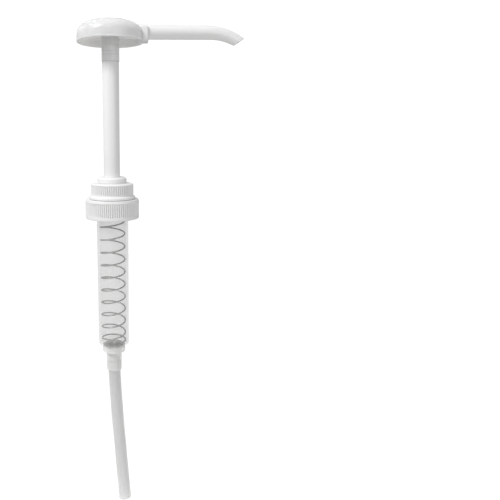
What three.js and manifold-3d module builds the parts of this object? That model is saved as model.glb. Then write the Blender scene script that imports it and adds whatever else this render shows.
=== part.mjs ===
// Condiment pump for a one-gallon sauce jug, with a long stroke and a bent spout.
//
// Millimetres, +Z up. The origin is on the pump's axis, in the plane of the jug's rim, where the
// jug gasket's underside seals. The spout points along +X. The plunger is at the top of its stroke.

import * as THREE from 'three';
import { mergeVertices } from 'three/addons/utils/BufferGeometryUtils.js';
import Module from 'manifold-3d';

const wasm = await Module();
wasm.setup();

// ---------------------------------------------------------------------------------------------
// Driving dimensions
// ---------------------------------------------------------------------------------------------

// Clearances
const FIT_GAP = 0.1; // pieces that are pressed, screwed or dropped together
const RUN_GAP = 0.2; // pieces that slide or turn past each other, on the radius
const STOP_GAP = 0.5; // left between two stops when they meet
const OVERRUN = 1; // how far a cutting shape runs past the face it cuts

// How finely round pieces are divided
const LARGE_SIDES = 36;
const MEDIUM_SIDES = 24;
const SMALL_SIDES = 18;
const BALL_SIDES = 14;

// Motion
const STROKE = 84.5; // until the hub's foot meets the shaft bushing

// Clear barrel, with a flange that rests on the jug's rim
const BORE_RADIUS = 10.8;
const BARREL_WALL = 1.75;
const BARREL_DEPTH = 117.5; // below the jug's rim
const BARREL_FLOOR = 1.8;
const BARREL_CHAMFER = 2.2;
const BARREL_NECK_RADIUS = 14.2;
const BARREL_FLANGE_RADIUS = 16.6;
const BARREL_FLANGE = 1.8;

// Seals
const JUG_GASKET = 1.2;
const JUG_GASKET_RADIUS = 17.4;
const BARREL_GASKET = 0.7;
const WIPER_HEIGHT = 1.5;
const WIPER_SIDE_GAP = 1; // between the wiper's rim and the barrel's bore
const HUB_SEAL = 1.2;

// Jug cap, which turns freely between the barrel's flange and the guide nut
const CAP_RADIUS = 21.1;
const CAP_TOP = 5.8;
const CAP_SKIRT = 9.4; // below the jug's rim
const CAP_PLATE = 1.7;
const CAP_THREAD_ROOT = 18.9;
const CAP_THREAD_DEPTH = 1.2;
const CAP_THREAD_PITCH = 4.23;
const CAP_THREAD_TURNS = 1.25;
const CAP_THREAD_STEPS = 27;
const CAP_THREAD_ROOT_WIDTH = 2.54;
const CAP_THREAD_CREST_WIDTH = 0.85;
const CAP_EDGE = 1.1;

// Guide nut, which screws down over the barrel's neck
const NUT_RADIUS = 16.75;
const NUT_HEIGHT = 12; // above the cap, to the ribbed wall's top shoulder
const NUT_CROWN = 0.5; // rise of the nut's top above that shoulder
const NUT_FLANGE_RADIUS = 18.2;
const NUT_FLANGE = 2.9;
const NUT_PLATE = 1.6;
const NUT_EDGE = 0.9;

// Shaft bushing, the small ring on top of the guide nut
const BUSHING_RADIUS = 11.4;
const BUSHING_HEIGHT = 4.4;
const BUSHING_SLEEVE_WALL = 1.95;
const BUSHING_SLEEVE = 5.2; // below the nut's top
const BUSHING_EDGE = 1.3;

// Plunger stem
const STEM_RADIUS = 6.25;
const STEM_BORE_RADIUS = 4.4;
const SPIGOT_WALL = 1; // of the stem's narrow top, which fits the nozzle's hub
const SPIGOT_LENGTH = 14;
const UP_STOP_SIDE_GAP = 1.3; // between the up stop's rim and the barrel's bore
const UP_STOP_HEIGHT = 1.6;

// Piston
const PISTON_FACE = -4; // lowest face
const PISTON_HEIGHT = 13.5;
const PISTON_DISC = 0.7;
const PISTON_GROOVE = 2.1; // depth of the seal's groove, from the bore
const PISTON_SOCKET_WALL = 1.85;
const PISTON_FLOOR = 4.3;
const SEAL_HEIGHT = 5;
const SEAL_LIP = 1;

// Check valves
const INLET_BALL_RADIUS = 3.7;
const OUTLET_BALL_RADIUS = 3.3;
const INLET_SEAT_RADIUS = 2.7;
const OUTLET_SEAT_RADIUS = 2.3;
const INLET_LIFT = 3;
const OUTLET_LIFT = 3;
const BALL_STOP_HEIGHT = 1.4;
const BALL_STOP_BAR = 1.5;

// Spring follower, the ring that lets the piston turn on the spring
const FOLLOWER_HEIGHT = 1.5;
const FOLLOWER_LIP = 3;
const FOLLOWER_WALL = 1.4;

// Return spring
const SPRING_SIDE_GAP = 0.65; // between the coils and the barrel's bore
const SPRING_WIRE = 1.1;
const SPRING_ACTIVE_TURNS = 10;
const SPRING_HEAD_TURNS = 1.1; // closed, under the follower
const SPRING_FOOT_TURNS = 0.5; // closed, on the ball cage
const SPRING_END_SPACING = 1.15; // pitch of the closed end turns, in wire thicknesses
const SPRING_BLEND_TURNS = 0.5; // from the closed pitch to the open one
const SPRING_STEPS_PER_TURN = 12;
const SPRING_WIRE_SIDES = 5;

// Inlet housing under the barrel, its ball cage and the dip tube
const HOUSING_FLANGE_RADIUS = 9.4;
const HOUSING_FLANGE = 1.5;
const HOUSING_SKIRT = 5.2;
const HOUSING_SKIRT_WALL = 0.9;
const HOUSING_NECK_WALL = 0.95; // round the dip tube
const TUBE_GAP = 0.25; // leaves the soft tube room to lean in its socket
const HOUSING_LENGTH = 22.3;
const HOUSING_SEAT = 1.6;
const TUBE_SOCKET_DEPTH = 7;
const CAGE_FLANGE = 1.3;
const CAGE_WALL = 1.2;
const CAGE_SLOT = 2;
const DIP_TUBE_RADIUS = 5.1;
const DIP_TUBE_WALL = 1.1;
const DIP_TUBE_DROP = 119.4; // height from the housing's mouth down to the tube's cut end
const DIP_TUBE_SIDE_SWING = 8.7;
const DIP_TUBE_FRONT_SWING = 10;
const DIP_TUBE_SIDES = 8;
const DIP_TUBE_STEPS = 12;

// Nozzle: hub, shield block and spout
const HUB_WALL = 1.1;
const HUB_HEAD_WALL = 2.5;
const HUB_HEAD_HEIGHT = 8;
const HUB_EDGE = 0.5;
const SPOUT_RISE = 20.8; // centre line at the pump's axis, above the hub's foot
const SPOUT_ROOT_RADIUS = 5.2;
const SPOUT_KNEE_RADIUS = 4.75;
const SPOUT_TIP_RADIUS = 4.05;
const SPOUT_WALL = 1.3;
const SPOUT_DROOP = 0.65; // fall of the centre line, axis to knee
const SPOUT_KNEE = 73; // where the bend begins
const SPOUT_ELBOW = 84.5; // where the two straight runs would cross
const SPOUT_REACH = 94.9; // middle of the cut end
const SPOUT_TIP_FALL = 7.1; // from the centre line at the axis
const SPOUT_CUT_ANGLE = 57.5; // of the cut face's normal, in degrees below level
const SPOUT_SIDES = 20;
const SPOUT_BEND_STEPS = 9;
const SPOUT_OVERRUN = 8; // length past the tip that is cut away
const CHAMBER_RADIUS = 3.6;
const BLOCK_NEAR = 20.5;
const BLOCK_FAR = 28.1;
const BLOCK_HALF_WIDTH = 6.8;
const BLOCK_RISE = 3.2; // of its upper edge, above the spout's centre line
const BLOCK_DROP = 7.1; // of its lower edge, below the spout's centre line
const BLOCK_CORNER = 1.6;

// Palm cap, the dome that the palm presses
const DOME_RADIUS = 24.9;
const DOME_RIM_DROP = 7.3; // below the spout's centre line
const DOME_WALL = 1.7;
const DOME_SKIRT = 3.7; // height of the straight skirt
const DOME_CROWN = 11.6; // rise of the crown above the shoulder
const DOME_FULLNESS = 2.6; // 2 is an ellipse; larger is squarer
const DOME_POINTS = 8;
const BOSS_WALL = 1.5;
const BOSS_LENGTH = 6.5; // how far the boss comes down over the hub's head
const DOME_RIBS = 6;
const DOME_RIB_WIDTH = 1.2;
const DOME_RIB_DEPTH = 2.2;
const DOME_RIB_REACH = 17.4; // from the axis

// ---------------------------------------------------------------------------------------------
// Places that follow from the driving dimensions
// ---------------------------------------------------------------------------------------------

const flangeTop = JUG_GASKET + FIT_GAP + BARREL_FLANGE;
const nutBottom = CAP_TOP + RUN_GAP + FIT_GAP;
const nutShoulder = CAP_TOP + NUT_HEIGHT;
const nutTop = nutShoulder + NUT_CROWN;
const nutPlateBottom = nutTop - NUT_PLATE;
const barrelGasketBottom = nutPlateBottom - FIT_GAP - BARREL_GASKET;
const barrelNeckTop = barrelGasketBottom - FIT_GAP;
const bushingTop = nutTop + FIT_GAP + BUSHING_HEIGHT;
const bushingBottom = nutTop - BUSHING_SLEEVE;
const bushingSleeveRadius = STEM_RADIUS + RUN_GAP + BUSHING_SLEEVE_WALL;
const wiperBottom = bushingBottom - FIT_GAP - WIPER_HEIGHT;
const upStopTop = wiperBottom - FIT_GAP;

const stemTop = bushingTop + STOP_GAP + STROKE - FIT_GAP;
const spigotRadius = STEM_BORE_RADIUS + SPIGOT_WALL;
const pistonTop = PISTON_FACE + PISTON_HEIGHT;
const pistonLedge = PISTON_FACE + PISTON_FLOOR;
const stemBottom = pistonLedge + FIT_GAP;
const spigotTop = stemTop + SPIGOT_LENGTH;

const hubBottom = stemTop + FIT_GAP;
const hubCeiling = spigotTop + FIT_GAP + HUB_SEAL + FIT_GAP;
const hubBoreRadius = spigotRadius + FIT_GAP;
const hubHeadRadius = hubBoreRadius + HUB_HEAD_WALL;
const spoutHeight = hubBottom + SPOUT_RISE;
const tipHeight = spoutHeight - SPOUT_TIP_FALL;
const hubTop = spoutHeight + SPOUT_ROOT_RADIUS + HUB_EDGE;
const domeRim = spoutHeight - DOME_RIM_DROP;
const domeShoulder = domeRim + DOME_SKIRT;

const floorTop = BARREL_FLOOR - BARREL_DEPTH;
const cageBottom = floorTop + FIT_GAP;
const springBottom = cageBottom + CAGE_FLANGE + FIT_GAP;
const followerTop = PISTON_FACE - FIT_GAP;
const springTop = followerTop - FOLLOWER_HEIGHT - FIT_GAP;
const springRadius = BORE_RADIUS - SPRING_SIDE_GAP;

const housingTop = -BARREL_DEPTH - FIT_GAP;
const housingMouth = housingTop - HOUSING_LENGTH;
const socketTop = housingMouth + TUBE_SOCKET_DEPTH;
const inletSeatTop = socketTop + HOUSING_SEAT;
const inletChamberRadius = INLET_BALL_RADIUS + 1;
const inletBallHeight = inletSeatTop + seatedRise(INLET_BALL_RADIUS, INLET_SEAT_RADIUS);
const cageSleeveBottom = inletBallHeight + INLET_BALL_RADIUS + INLET_LIFT + FIT_GAP;
const cageSleeveRadius = inletChamberRadius - FIT_GAP;

const outletSeatTop = pistonLedge - FIT_GAP;
const outletBallHeight = outletSeatTop + seatedRise(OUTLET_BALL_RADIUS, OUTLET_SEAT_RADIUS);
const ballStopBottom = outletBallHeight + OUTLET_BALL_RADIUS + OUTLET_LIFT + FIT_GAP;

// Height of a ball's centre above the edge of the hole that it rests on.
function seatedRise(ballRadius, holeRadius) {
  return Math.sqrt(ballRadius ** 2 - holeRadius ** 2) + FIT_GAP / 2;
}

// ---------------------------------------------------------------------------------------------
// Shape helpers
// ---------------------------------------------------------------------------------------------

// A turned piece. The outline is a closed list of [radius, height], counter-clockwise: up its
// outside and down its inside.
function turned(outline, sides) {
  const points = outline.map(([radius, height]) => new THREE.Vector2(radius, height));
  if (outline[0][0] > 0) points.push(points[0].clone());
  const geometry = new THREE.LatheGeometry(points, sides);
  geometry.rotateX(Math.PI / 2);
  return geometry;
}

// A plain ring or washer.
function ring(innerRadius, outerRadius, bottom, top, sides) {
  return turned([
    [innerRadius, bottom],
    [outerRadius, bottom],
    [outerRadius, top],
    [innerRadius, top],
  ], sides);
}

// A box given by its two opposite corners.
function block(low, high) {
  const size = high.map((value, axis) => value - low[axis]);
  const geometry = new THREE.BoxGeometry(...size);
  geometry.translate(...high.map((value, axis) => (value + low[axis]) / 2));
  return geometry;
}

// A ball of the given radius, centred on the axis.
function ball(radius, height) {
  const geometry = new THREE.SphereGeometry(radius, BALL_SIDES, BALL_SIDES - 4);
  geometry.rotateX(Math.PI / 2);
  geometry.translate(0, 0, height);
  return geometry;
}

// A ring of points round each station of a path, joined to the next and closed at both ends.
// Each station is a list of points that run counter-clockwise, seen from the path's far end.
function lofted(stations) {
  const sides = stations[0].length;
  const positions = stations.flat().flatMap((point) => [point.x, point.y, point.z]);
  const indices = [];
  for (let i = 0; i + 1 < stations.length; i += 1) {
    for (let j = 0; j < sides; j += 1) {
      const a = i * sides + j;
      const b = i * sides + ((j + 1) % sides);
      indices.push(a, b, b + sides, a, b + sides, a + sides);
    }
  }
  const last = (stations.length - 1) * sides;
  for (let j = 1; j + 1 < sides; j += 1) {
    indices.push(0, j + 1, j, last, last + j, last + j + 1);
  }
  const geometry = new THREE.BufferGeometry();
  geometry.setAttribute('position', new THREE.Float32BufferAttribute(positions, 3));
  geometry.setIndex(indices);
  return geometry;
}

// A round bar along a curve in the XZ plane, with a station at each of the given shares of its
// length; radiusAt gives the bar's radius at a share.
function barAlong(curve, shares, radiusAt, sides) {
  const stations = [];
  for (const share of shares) {
    const centre = curve.getPointAt(share);
    const along = curve.getTangentAt(share);
    const across = new THREE.Vector3(0, -1, 0);
    const up = across.clone().cross(along);
    const station = [];
    for (let j = 0; j < sides; j += 1) {
      const angle = (2 * Math.PI * j) / sides;
      const arm = up.clone().multiplyScalar(Math.cos(angle)).addScaledVector(across, Math.sin(angle));
      station.push(arm.multiplyScalar(radiusAt(share)).add(centre));
    }
    stations.push(station);
  }
  return lofted(stations);
}

// A solid for cutting and joining.
function solid(geometry) {
  const bare = new THREE.BufferGeometry();
  bare.setAttribute('position', geometry.getAttribute('position'));
  if (geometry.index) bare.setIndex(geometry.index);
  const merged = mergeVertices(bare, 1e-4);
  const corners = [];
  const index = merged.index.array;
  for (let i = 0; i < index.length; i += 3) {
    const [a, b, c] = [index[i], index[i + 1], index[i + 2]];
    if (a !== b && b !== c && c !== a) corners.push(a, b, c);
  }
  return new wasm.Manifold(new wasm.Mesh({
    numProp: 3,
    vertProperties: new Float32Array(merged.getAttribute('position').array),
    triVerts: new Uint32Array(corners),
  }));
}

// The geometry of a cut or joined solid.
function shape(manifold) {
  const mesh = manifold.getMesh();
  const geometry = new THREE.BufferGeometry();
  geometry.setAttribute('position', new THREE.BufferAttribute(mesh.vertProperties, 3));
  geometry.setIndex(new THREE.BufferAttribute(mesh.triVerts, 1));
  return geometry;
}

// ---------------------------------------------------------------------------------------------
// Materials
// ---------------------------------------------------------------------------------------------

const looks = {
  whiteGloss: { color: '#f1f1ef', roughness: 0.3, metalness: 0 },
  whiteRibbed: { color: '#ededeb', roughness: 0.42, metalness: 0 },
  clear: { color: '#dcdcda', roughness: 0.25, metalness: 0, transparent: true, opacity: 0.4 },
  milky: { color: '#dadad9', roughness: 0.5, metalness: 0, transparent: true, opacity: 0.85 },
  rubber: { color: '#cfcfca', roughness: 0.7, metalness: 0 },
  steel: { color: '#8d8d8b', roughness: 0.3, metalness: 1 },
  acetal: { color: '#e6e5e0', roughness: 0.35, metalness: 0 },
};

const pump = new THREE.Group();

// Puts a named piece into the assembly, in a material of its own.
function add(name, geometry, look) {
  const mesh = new THREE.Mesh(geometry, new THREE.MeshStandardMaterial(looks[look]));
  mesh.name = name;
  pump.add(mesh);
}

// ---------------------------------------------------------------------------------------------
// Barrel and what is fixed to it
// ---------------------------------------------------------------------------------------------

function pumpBarrel() {
  const outside = BORE_RADIUS + BARREL_WALL;
  return turned([
    [inletChamberRadius, -BARREL_DEPTH],
    [outside - BARREL_CHAMFER, -BARREL_DEPTH],
    [outside, BARREL_CHAMFER - BARREL_DEPTH],
    [outside, JUG_GASKET + FIT_GAP],
    [BARREL_FLANGE_RADIUS, JUG_GASKET + FIT_GAP],
    [BARREL_FLANGE_RADIUS, flangeTop],
    [BARREL_NECK_RADIUS, flangeTop],
    [BARREL_NECK_RADIUS, barrelNeckTop],
    [BORE_RADIUS, barrelNeckTop],
    [BORE_RADIUS, floorTop],
    [inletChamberRadius, floorTop],
  ], LARGE_SIDES);
}

function jugGasket() {
  return ring(BORE_RADIUS + BARREL_WALL + FIT_GAP, JUG_GASKET_RADIUS, 0, JUG_GASKET, LARGE_SIDES);
}

function barrelGasket() {
  const top = barrelGasketBottom + BARREL_GASKET;
  return ring(BORE_RADIUS, BARREL_NECK_RADIUS, barrelGasketBottom, top, LARGE_SIDES);
}

function guideNut() {
  const bore = BARREL_NECK_RADIUS + FIT_GAP;
  const hole = bushingSleeveRadius + FIT_GAP;
  return turned([
    [bore, nutBottom],
    [NUT_FLANGE_RADIUS, nutBottom],
    [NUT_FLANGE_RADIUS, nutBottom + NUT_FLANGE / 2],
    [NUT_RADIUS, nutBottom + NUT_FLANGE],
    [NUT_RADIUS, nutShoulder - NUT_EDGE],
    [NUT_RADIUS - NUT_EDGE, nutShoulder],
    [BUSHING_RADIUS + NUT_EDGE, nutTop],
    [hole, nutTop],
    [hole, nutPlateBottom],
    [bore, nutPlateBottom],
  ], LARGE_SIDES);
}

function shaftBushing() {
  const bore = STEM_RADIUS + RUN_GAP;
  const seat = nutTop + FIT_GAP;
  return turned([
    [bore, bushingBottom],
    [bushingSleeveRadius, bushingBottom],
    [bushingSleeveRadius, seat],
    [BUSHING_RADIUS, seat],
    [BUSHING_RADIUS, bushingTop - BUSHING_EDGE],
    [BUSHING_RADIUS - BUSHING_EDGE, bushingTop],
    [bore, bushingTop],
  ], MEDIUM_SIDES);
}

function stemWiper() {
  const outside = BORE_RADIUS - WIPER_SIDE_GAP;
  return ring(STEM_RADIUS + RUN_GAP, outside, wiperBottom, wiperBottom + WIPER_HEIGHT, MEDIUM_SIDES);
}

// The housing hangs under the barrel's floor: a skirt ring, a ball seat and a socket for the tube.
function inletHousing() {
  const neckTop = housingTop - HOUSING_FLANGE;
  const skirtInner = HOUSING_FLANGE_RADIUS - HOUSING_SKIRT_WALL;
  const socket = DIP_TUBE_RADIUS + TUBE_GAP;
  return turned([
    [INLET_SEAT_RADIUS, socketTop],
    [socket, socketTop],
    [socket, housingMouth],
    [socket + HOUSING_NECK_WALL, housingMouth],
    [socket + HOUSING_NECK_WALL, neckTop],
    [skirtInner, neckTop],
    [skirtInner, housingTop - HOUSING_SKIRT],
    [HOUSING_FLANGE_RADIUS, housingTop - HOUSING_SKIRT],
    [HOUSING_FLANGE_RADIUS, housingTop],
    [inletChamberRadius, housingTop],
    [inletChamberRadius, inletSeatTop],
    [INLET_SEAT_RADIUS, inletSeatTop],
  ], MEDIUM_SIDES);
}

// The cage stands in the barrel's floor. Its slotted sleeve stops the ball and lets sauce past.
function ballCage() {
  const bore = cageSleeveRadius - CAGE_WALL;
  const sleeve = turned([
    [bore, cageSleeveBottom],
    [cageSleeveRadius, cageSleeveBottom],
    [cageSleeveRadius, cageBottom],
    [BORE_RADIUS - RUN_GAP, cageBottom],
    [BORE_RADIUS - RUN_GAP, cageBottom + CAGE_FLANGE],
    [bore, cageBottom + CAGE_FLANGE],
  ], SMALL_SIDES);
  const reach = cageSleeveRadius + OVERRUN;
  const slotTop = cageBottom - CAGE_FLANGE;
  const bottom = cageSleeveBottom - OVERRUN;
  const alongX = block([-reach, -CAGE_SLOT / 2, bottom], [reach, CAGE_SLOT / 2, slotTop]);
  const alongY = block([-CAGE_SLOT / 2, -reach, bottom], [CAGE_SLOT / 2, reach, slotTop]);
  return shape(solid(sleeve).subtract(solid(alongX)).subtract(solid(alongY)));
}

// The tube stands straight in its socket, then swings gently sideways and forwards.
function dipTube() {
  const top = socketTop - FIT_GAP;
  const along = (share) => housingMouth - DIP_TUBE_DROP * share;
  const curve = new THREE.CubicBezierCurve3(
    new THREE.Vector3(0, 0, top),
    new THREE.Vector3(0, 0, along(0.16)),
    new THREE.Vector3(DIP_TUBE_SIDE_SWING / 2, -DIP_TUBE_FRONT_SWING / 3, along(0.58)),
    new THREE.Vector3(DIP_TUBE_SIDE_SWING, -DIP_TUBE_FRONT_SWING, along(1)),
  );
  const section = new THREE.Shape();
  section.absarc(0, 0, DIP_TUBE_RADIUS, 0, 2 * Math.PI);
  const bore = new THREE.Path();
  bore.absarc(0, 0, DIP_TUBE_RADIUS - DIP_TUBE_WALL, 0, 2 * Math.PI);
  section.holes.push(bore);
  return new THREE.ExtrudeGeometry(section, {
    steps: DIP_TUBE_STEPS,
    curveSegments: DIP_TUBE_SIDES,
    bevelEnabled: false,
    extrudePath: curve,
  });
}

// ---------------------------------------------------------------------------------------------
// Return spring
// ---------------------------------------------------------------------------------------------

// The wire's centre line climbs slowly through the closed end turns and quickly between them.
function springHeight(turn, turns) {
  const closedPitch = SPRING_WIRE * SPRING_END_SPACING;
  const bottom = springBottom + SPRING_WIRE / 2;
  const top = springTop - SPRING_WIRE / 2;
  const rise = top - bottom - turns * closedPitch;
  const openTurns = turns - SPRING_HEAD_TURNS - SPRING_FOOT_TURNS;
  const openShare = (turn - SPRING_FOOT_TURNS) / openTurns;
  const ease = SPRING_BLEND_TURNS / openTurns;
  return bottom + turn * closedPitch + rise * easedRamp(openShare, ease);
}

// Runs from 0 to 1 with rounded ends of the given share.
function easedRamp(share, ease) {
  if (share <= 0) return 0;
  if (share >= 1) return 1;
  const slope = 1 / (1 - ease);
  if (share < ease) return (slope * share * share) / (2 * ease);
  if (share > 1 - ease) return 1 - (slope * (1 - share) ** 2) / (2 * ease);
  return slope * (share - ease / 2);
}

function returnSpring() {
  const turns = SPRING_ACTIVE_TURNS + SPRING_HEAD_TURNS + SPRING_FOOT_TURNS;
  const steps = Math.round(turns * SPRING_STEPS_PER_TURN);
  const coilRadius = springRadius - SPRING_WIRE / 2;
  const stations = [];
  for (let i = 0; i <= steps; i += 1) {
    const turn = (i / steps) * turns;
    const angle = 2 * Math.PI * (turn - turns) + Math.PI;
    const height = springHeight(turn, turns);
    const station = [];
    for (let j = 0; j < SPRING_WIRE_SIDES; j += 1) {
      const around = (-2 * Math.PI * j) / SPRING_WIRE_SIDES;
      const radius = coilRadius + (SPRING_WIRE / 2) * Math.cos(around);
      const z = height + (SPRING_WIRE / 2) * Math.sin(around);
      station.push(new THREE.Vector3(radius * Math.cos(angle), radius * Math.sin(angle), z));
    }
    stations.push(station);
  }
  return lofted(stations);
}

function springFollower() {
  const lip = springRadius - SPRING_WIRE - RUN_GAP;
  const bore = lip - FOLLOWER_WALL;
  return turned([
    [bore, followerTop - FOLLOWER_HEIGHT - FOLLOWER_LIP],
    [lip, followerTop - FOLLOWER_HEIGHT - FOLLOWER_LIP],
    [lip, followerTop - FOLLOWER_HEIGHT],
    [BORE_RADIUS - RUN_GAP, followerTop - FOLLOWER_HEIGHT],
    [BORE_RADIUS - RUN_GAP, followerTop],
    [bore, followerTop],
  ], MEDIUM_SIDES);
}

// ---------------------------------------------------------------------------------------------
// Jug cap
// ---------------------------------------------------------------------------------------------

// One ridge of thread round the inside of the cap, a little over one turn long.
function capThread() {
  const steps = CAP_THREAD_STEPS;
  const crest = CAP_THREAD_ROOT - CAP_THREAD_DEPTH;
  const root = CAP_THREAD_ROOT + CAP_THREAD_DEPTH / 2;
  const start = CAP_THREAD_PITCH / 2 - CAP_SKIRT;
  const rootHalf = CAP_THREAD_ROOT_WIDTH / 2;
  const crestHalf = CAP_THREAD_CREST_WIDTH / 2;
  const stations = [];
  for (let i = 0; i <= steps; i += 1) {
    const turn = (i / steps) * CAP_THREAD_TURNS;
    const angle = 2 * Math.PI * turn;
    const height = start + turn * CAP_THREAD_PITCH;
    const section = [
      [crest, height - crestHalf],
      [crest, height + crestHalf],
      [root, height + rootHalf],
      [root, height - rootHalf],
    ];
    stations.push(section.map(([radius, z]) => (
      new THREE.Vector3(radius * Math.cos(angle), radius * Math.sin(angle), z)
    )));
  }
  return lofted(stations);
}

function jugCap() {
  const hole = BARREL_NECK_RADIUS + RUN_GAP;
  const shell = turned([
    [CAP_THREAD_ROOT, -CAP_SKIRT],
    [CAP_RADIUS - CAP_EDGE, -CAP_SKIRT],
    [CAP_RADIUS, CAP_EDGE - CAP_SKIRT],
    [CAP_RADIUS, CAP_TOP - CAP_EDGE],
    [CAP_RADIUS - CAP_EDGE, CAP_TOP],
    [hole, CAP_TOP],
    [hole, CAP_TOP - CAP_PLATE],
    [CAP_THREAD_ROOT, CAP_TOP - CAP_PLATE],
  ], LARGE_SIDES);
  return shape(solid(shell).add(solid(capThread())));
}

// ---------------------------------------------------------------------------------------------
// Plunger: stem, piston and outlet valve
// ---------------------------------------------------------------------------------------------

function pumpStem() {
  return turned([
    [STEM_BORE_RADIUS, stemBottom],
    [STEM_RADIUS, stemBottom],
    [STEM_RADIUS, stemTop],
    [spigotRadius, stemTop],
    [spigotRadius, spigotTop],
    [STEM_BORE_RADIUS, spigotTop],
  ], MEDIUM_SIDES);
}

function piston() {
  const seatBore = STEM_BORE_RADIUS + CAGE_WALL / 2;
  const waist = BORE_RADIUS - PISTON_GROOVE;
  const socket = STEM_RADIUS + FIT_GAP;
  const sealTop = PISTON_FACE + PISTON_DISC + SEAL_HEIGHT + 2 * FIT_GAP;
  return turned([
    [seatBore, PISTON_FACE],
    [BORE_RADIUS - RUN_GAP, PISTON_FACE],
    [BORE_RADIUS - RUN_GAP, PISTON_FACE + PISTON_DISC],
    [waist, PISTON_FACE + PISTON_DISC],
    [waist, sealTop],
    [BORE_RADIUS - RUN_GAP, sealTop],
    [BORE_RADIUS - RUN_GAP, sealTop + PISTON_DISC],
    [socket + PISTON_SOCKET_WALL, sealTop + PISTON_DISC],
    [socket + PISTON_SOCKET_WALL, pistonTop],
    [socket, pistonTop],
    [socket, pistonLedge],
    [seatBore, pistonLedge],
  ], MEDIUM_SIDES);
}

// A cup seal: a ring with a groove in its lower face, so that pressure spreads its lip.
function pistonSeal() {
  const bottom = PISTON_FACE + PISTON_DISC + FIT_GAP;
  const inner = BORE_RADIUS - PISTON_GROOVE + FIT_GAP;
  const outer = BORE_RADIUS - FIT_GAP;
  const groove = (inner + outer) / 2;
  return turned([
    [inner, bottom],
    [groove, bottom + SEAL_HEIGHT - SEAL_LIP],
    [outer, bottom],
    [outer, bottom + SEAL_HEIGHT - SEAL_LIP],
    [outer - SEAL_LIP / 2, bottom + SEAL_HEIGHT],
    [inner, bottom + SEAL_HEIGHT],
  ], MEDIUM_SIDES);
}

function outletSeat() {
  const outside = STEM_BORE_RADIUS + CAGE_WALL / 2 - FIT_GAP;
  return ring(OUTLET_SEAT_RADIUS, outside, PISTON_FACE + FIT_GAP, outletSeatTop, SMALL_SIDES);
}

// A ring with a bar across it, pressed into the stem's bore above the outlet ball.
function ballStop() {
  const outside = STEM_BORE_RADIUS - FIT_GAP;
  const top = ballStopBottom + BALL_STOP_HEIGHT;
  const rim = ring(outside - BALL_STOP_BAR / 2, outside, ballStopBottom, top, SMALL_SIDES);
  const reach = outside - BALL_STOP_BAR / 4;
  const bar = block([-reach, -BALL_STOP_BAR / 2, ballStopBottom], [reach, BALL_STOP_BAR / 2, top]);
  return shape(solid(rim).add(solid(bar)));
}

function upStop() {
  const outside = BORE_RADIUS - UP_STOP_SIDE_GAP;
  return ring(STEM_RADIUS + FIT_GAP, outside, upStopTop - UP_STOP_HEIGHT, upStopTop, MEDIUM_SIDES);
}

function hubSeal() {
  const bottom = spigotTop + FIT_GAP;
  return ring(STEM_BORE_RADIUS, spigotRadius, bottom, bottom + HUB_SEAL, SMALL_SIDES);
}

// ---------------------------------------------------------------------------------------------
// Nozzle
// ---------------------------------------------------------------------------------------------

// The spout's centre line, level at first and then bent down, run on past the cut by `extra`.
function spoutPath(extra) {
  const knee = new THREE.Vector3(SPOUT_KNEE, 0, spoutHeight - SPOUT_DROOP);
  const elbow = new THREE.Vector3(SPOUT_ELBOW, 0, knee.z - SPOUT_DROOP / 4);
  const tip = new THREE.Vector3(SPOUT_REACH, 0, tipHeight);
  const past = tip.clone().sub(elbow).setLength(extra).add(tip);
  const path = new THREE.CurvePath();
  path.add(new THREE.LineCurve3(new THREE.Vector3(0, 0, spoutHeight), knee));
  path.add(new THREE.QuadraticBezierCurve3(knee, elbow, tip));
  path.add(new THREE.LineCurve3(tip, past));
  return path;
}

// A bar along the spout, thinner than its outside by `inset`, run on past the cut by `extra`.
function spoutBar(inset, extra, sides) {
  const path = spoutPath(extra);
  const kneeShare = path.curves[0].getLength() / path.getLength();
  const shares = [0];
  for (let i = 0; i <= SPOUT_BEND_STEPS; i += 1) {
    shares.push(THREE.MathUtils.lerp(kneeShare, 1, i / SPOUT_BEND_STEPS));
  }
  const { lerp } = THREE.MathUtils;
  const radiusAt = (share) => {
    const straight = share < kneeShare;
    const past = (share - kneeShare) / (1 - kneeShare);
    const outside = straight
      ? lerp(SPOUT_ROOT_RADIUS, SPOUT_KNEE_RADIUS, share / kneeShare)
      : lerp(SPOUT_KNEE_RADIUS, SPOUT_TIP_RADIUS, past);
    return outside - inset;
  };
  return barAlong(path, shares, radiusAt, sides);
}

// A slab that takes away everything past the spout's cut face.
function spoutCutter() {
  const size = 40;
  const slab = new THREE.BoxGeometry(size, size, size);
  slab.translate(size / 2, 0, 0);
  slab.rotateY(THREE.MathUtils.degToRad(SPOUT_CUT_ANGLE));
  slab.translate(SPOUT_REACH, 0, tipHeight);
  return slab;
}

// The shield block fills the notch in the palm cap's skirt and stands proud of it.
function shieldBlock() {
  const top = spoutHeight + BLOCK_RISE;
  const bottom = spoutHeight - BLOCK_DROP;
  const half = BLOCK_HALF_WIDTH;
  const corner = BLOCK_CORNER;
  const outline = new THREE.Shape();
  outline.moveTo(-half, bottom);
  outline.lineTo(half, bottom);
  outline.lineTo(half, top - corner);
  outline.lineTo(half - corner, top);
  outline.lineTo(corner - half, top);
  outline.lineTo(-half, top - corner);
  const geometry = new THREE.ExtrudeGeometry(outline, { depth: BLOCK_FAR - BLOCK_NEAR, bevelEnabled: false });
  geometry.rotateX(Math.PI / 2);
  geometry.rotateZ(Math.PI / 2);
  geometry.translate(BLOCK_NEAR, 0, 0);
  return geometry;
}

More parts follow.
